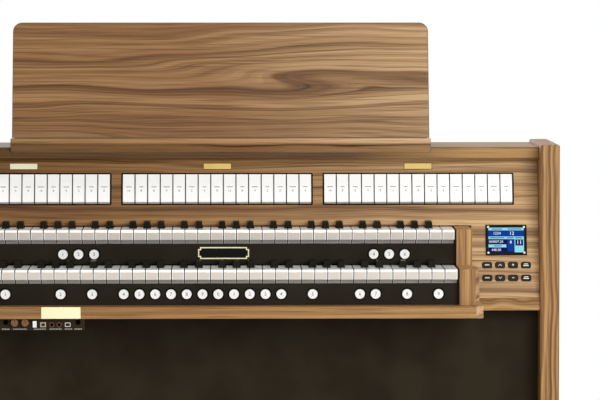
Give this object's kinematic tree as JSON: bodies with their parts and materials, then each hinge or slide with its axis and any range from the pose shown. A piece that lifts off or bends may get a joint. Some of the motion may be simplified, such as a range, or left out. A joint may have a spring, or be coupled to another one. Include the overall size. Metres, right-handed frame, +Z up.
{
  "type": "electronic organ",
  "caption": "Console electronic organ with stepped manuals, rocking stop tabs, thumb pistons, display, music desk, expression pedals and a pull-out pedalboard.",
  "frame": {"origin": "on the floor, under the middle of the case and its docked pedalboard", "axes": "+X to the player's right, +Y from the player to the back of the case, +Z up"},
  "size_m": [1.238, 0.674, 1.3144],
  "materials": {
    "left_side_panel": "satin lacquered veneer",
    "right_side_panel": "satin lacquered veneer",
    "top_board": "satin lacquered veneer",
    "stop_panel": "satin lacquered veneer",
    "key_bed": "satin lacquered veneer",
    "keyslip": "satin lacquered veneer",
    "left_desk_arm": "satin lacquered veneer",
    "right_desk_arm": "satin lacquered veneer",
    "left_key_block": "satin lacquered veneer",
    "right_key_block": "satin lacquered veneer",
    "lower_piston_rail": "dark stained, satin",
    "upper_piston_rail": "dark stained, satin",
    "knee_panel": "dark stained, satin",
    "speaker_grille": "woven",
    "case_floor": "dark stained, satin",
    "back_panel": "moulded, satin",
    "rear_stretcher": "dark stained, satin",
    "music_ledge": "satin lacquered veneer",
    "music_desk": "satin lacquered veneer",
    "lower_key_frame": "zinc plated sheet",
    "upper_key_frame": "zinc plated sheet",
    "lower_key_stop": "pressed felt on a hardwood rail",
    "upper_key_stop": "pressed felt on a hardwood rail",
    "pedal_stop_switches": "solder resist",
    "manual_one_stop_switches": "solder resist",
    "manual_two_stop_switches": "solder resist",
    "display_bezel": "moulded, satin",
    "display_screen": "glossy",
    "socket_box": "moulded, satin",
    "expression_bracket": "zinc plated sheet",
    "left_loudspeaker": "paper and pressed basket",
    "right_loudspeaker": "paper and pressed basket",
    "amplifier": "cast",
    "main_board": "solder resist",
    "power_supply": "zinc plated sheet",
    "mains_inlet": "moulded, satin",
    "lower_naturals_odd": "moulded, polished",
    "lower_naturals_even": "moulded, polished",
    "lower_sharps": "moulded, satin",
    "upper_naturals_odd": "moulded, polished",
    "upper_naturals_even": "moulded, polished",
    "upper_sharps": "moulded, satin",
    "pedal_stop_tabs": "moulded, polished",
    "manual_one_stop_tabs": "moulded, polished",
    "manual_two_stop_tabs": "moulded, polished",
    "lower_pistons": "moulded, satin",
    "upper_pistons": "moulded, satin",
    "menu_buttons": "moulded, satin",
    "first_volume_knob": "satin",
    "second_volume_knob": "satin",
    "power_switch": "moulded, polished",
    "pedal_frame": "satin lacquered veneer",
    "pedal_naturals": "clear lacquer",
    "pedal_sharps": "black stained, satin",
    "general_volume_pedal": "ribbed",
    "swell_pedal": "ribbed"
  },
  "bodies": {
    "case": {"left_side_panel": "left_side_panel", "right_side_panel": "right_side_panel", "top_board": "top_board", "stop_panel": "stop_panel", "key_bed": "key_bed", "keyslip": "keyslip", "left_desk_arm": "left_desk_arm", "right_desk_arm": "right_desk_arm", "left_key_block": "left_key_block", "right_key_block": "right_key_block", "lower_piston_rail": "lower_piston_rail", "upper_piston_rail": "upper_piston_rail", "knee_panel": "knee_panel", "speaker_grille": "speaker_grille", "case_floor": "case_floor", "back_panel": "back_panel", "rear_stretcher": "rear_stretcher", "music_ledge": "music_ledge", "music_desk": "music_desk", "lower_key_frame": "lower_key_frame", "upper_key_frame": "upper_key_frame", "lower_key_stop": "lower_key_stop", "upper_key_stop": "upper_key_stop", "pedal_stop_switches": "pedal_stop_switches", "manual_one_stop_switches": "manual_one_stop_switches", "manual_two_stop_switches": "manual_two_stop_switches", "display_bezel": "display_bezel", "display_screen": "display_screen", "socket_box": "socket_box", "expression_bracket": "expression_bracket", "left_loudspeaker": "left_loudspeaker", "right_loudspeaker": "right_loudspeaker", "amplifier": "amplifier", "main_board": "main_board", "power_supply": "power_supply", "mains_inlet": "mains_inlet"},
    "lower_naturals_odd": {"lower_naturals_odd": "lower_naturals_odd"},
    "lower_naturals_even": {"lower_naturals_even": "lower_naturals_even"},
    "lower_sharps": {"lower_sharps": "lower_sharps"},
    "upper_naturals_odd": {"upper_naturals_odd": "upper_naturals_odd"},
    "upper_naturals_even": {"upper_naturals_even": "upper_naturals_even"},
    "upper_sharps": {"upper_sharps": "upper_sharps"},
    "pedal_stop_tabs": {"pedal_stop_tabs": "pedal_stop_tabs"},
    "manual_one_stop_tabs": {"manual_one_stop_tabs": "manual_one_stop_tabs"},
    "manual_two_stop_tabs": {"manual_two_stop_tabs": "manual_two_stop_tabs"},
    "lower_pistons": {"lower_pistons": "lower_pistons"},
    "upper_pistons": {"upper_pistons": "upper_pistons"},
    "menu_buttons": {"menu_buttons": "menu_buttons"},
    "first_volume_knob": {"first_volume_knob": "first_volume_knob"},
    "second_volume_knob": {"second_volume_knob": "second_volume_knob"},
    "power_switch": {"power_switch": "power_switch"},
    "pedalboard": {"pedal_frame": "pedal_frame"},
    "pedal_naturals": {"pedal_naturals": "pedal_naturals"},
    "pedal_sharps": {"pedal_sharps": "pedal_sharps"},
    "general_volume_pedal": {"general_volume_pedal": "general_volume_pedal"},
    "swell_pedal": {"swell_pedal": "swell_pedal"}
  },
  "joints": [
    {"name": "lower_naturals_odd_press", "type": "hinge", "parent": "case", "child": "lower_naturals_odd", "pos_m": [0, 0.11, 0.8555], "axis": [1, 0, 0], "range_deg": [0, 2.66], "stiffness_Nm_per_rad": 25, "springref_deg": -11.46},
    {"name": "lower_naturals_even_press", "type": "hinge", "parent": "case", "child": "lower_naturals_even", "pos_m": [0, 0.11, 0.8555], "axis": [1, 0, 0], "range_deg": [0, 2.66], "stiffness_Nm_per_rad": 25, "springref_deg": -11.46},
    {"name": "lower_sharps_press", "type": "hinge", "parent": "case", "child": "lower_sharps", "pos_m": [0, 0.11, 0.8555], "axis": [1, 0, 0], "range_deg": [0, 2.66], "stiffness_Nm_per_rad": 12, "springref_deg": -11.46},
    {"name": "upper_naturals_odd_press", "type": "hinge", "parent": "case", "child": "upper_naturals_odd", "pos_m": [0, 0.21, 0.9211], "axis": [1, 0, 0], "range_deg": [0, 2.66], "stiffness_Nm_per_rad": 25, "springref_deg": -11.46},
    {"name": "upper_naturals_even_press", "type": "hinge", "parent": "case", "child": "upper_naturals_even", "pos_m": [0, 0.21, 0.9211], "axis": [1, 0, 0], "range_deg": [0, 2.66], "stiffness_Nm_per_rad": 25, "springref_deg": -11.46},
    {"name": "upper_sharps_press", "type": "hinge", "parent": "case", "child": "upper_sharps", "pos_m": [0, 0.21, 0.9211], "axis": [1, 0, 0], "range_deg": [0, 2.66], "stiffness_Nm_per_rad": 12, "springref_deg": -11.46},
    {"name": "pedal_stop_tabs_tilt", "type": "hinge", "parent": "case", "child": "pedal_stop_tabs", "pos_m": [-0.3736, 0.13018, 1.0241], "axis": [1, 0, 0], "range_deg": [0, 5], "stiffness_Nm_per_rad": 0.5, "springref_deg": -11.46},
    {"name": "manual_one_stop_tabs_tilt", "type": "hinge", "parent": "case", "child": "manual_one_stop_tabs", "pos_m": [-0.012, 0.13018, 1.0241], "axis": [1, 0, 0], "range_deg": [0, 5], "stiffness_Nm_per_rad": 0.5, "springref_deg": -11.46},
    {"name": "manual_two_stop_tabs_tilt", "type": "hinge", "parent": "case", "child": "manual_two_stop_tabs", "pos_m": [0.3615, 0.13018, 1.0241], "axis": [1, 0, 0], "range_deg": [0, 5], "stiffness_Nm_per_rad": 0.5, "springref_deg": -11.46},
    {"name": "lower_pistons_press", "type": "slide", "parent": "case", "child": "lower_pistons", "axis": [0, 1, 0], "range_m": [0, 0.003], "stiffness_N_per_m": 300, "springref_m": -0.003},
    {"name": "upper_pistons_press", "type": "slide", "parent": "case", "child": "upper_pistons", "axis": [0, 1, 0], "range_m": [0, 0.003], "stiffness_N_per_m": 300, "springref_m": -0.003},
    {"name": "menu_buttons_press", "type": "slide", "parent": "case", "child": "menu_buttons", "axis": [0, 0.9641, -0.2656], "range_m": [0, 0.0015], "stiffness_N_per_m": 300, "springref_m": -0.003},
    {"name": "first_volume_knob_turn", "type": "hinge", "parent": "case", "child": "first_volume_knob", "pos_m": [-0.376, -0.1178, 0.7778], "axis": [0, 1, 0], "range_deg": [-140, 140]},
    {"name": "second_volume_knob_turn", "type": "hinge", "parent": "case", "child": "second_volume_knob", "pos_m": [-0.357, -0.1178, 0.7778], "axis": [0, 1, 0], "range_deg": [-140, 140]},
    {"name": "power_switch_rock", "type": "hinge", "parent": "case", "child": "power_switch", "pos_m": [-0.34, -0.1139, 0.7748], "axis": [1, 0, 0], "range_deg": [-6, 0]},
    {"name": "pedalboard_slide", "type": "slide", "parent": "case", "child": "pedalboard", "axis": [0, -1, 0], "range_m": [0, 0.5]},
    {"name": "pedal_naturals_press", "type": "hinge", "parent": "pedalboard", "child": "pedal_naturals", "pos_m": [0, 0.2947, 0.09], "axis": [1, 0, 0], "range_deg": [0, 1.2], "stiffness_Nm_per_rad": 150, "springref_deg": -14.32},
    {"name": "pedal_sharps_press", "type": "hinge", "parent": "pedalboard", "child": "pedal_sharps", "pos_m": [0, 0.2947, 0.09], "axis": [1, 0, 0], "range_deg": [0, 1.2], "stiffness_Nm_per_rad": 150, "springref_deg": -14.32},
    {"name": "general_volume_pedal_tilt", "type": "hinge", "parent": "case", "child": "general_volume_pedal", "pos_m": [-0.055, 0.126, 0.235], "axis": [1, 0, 0], "range_deg": [-20, 0]},
    {"name": "swell_pedal_tilt", "type": "hinge", "parent": "case", "child": "swell_pedal", "pos_m": [0.055, 0.126, 0.235], "axis": [1, 0, 0], "range_deg": [-20, 0]}
  ]
}
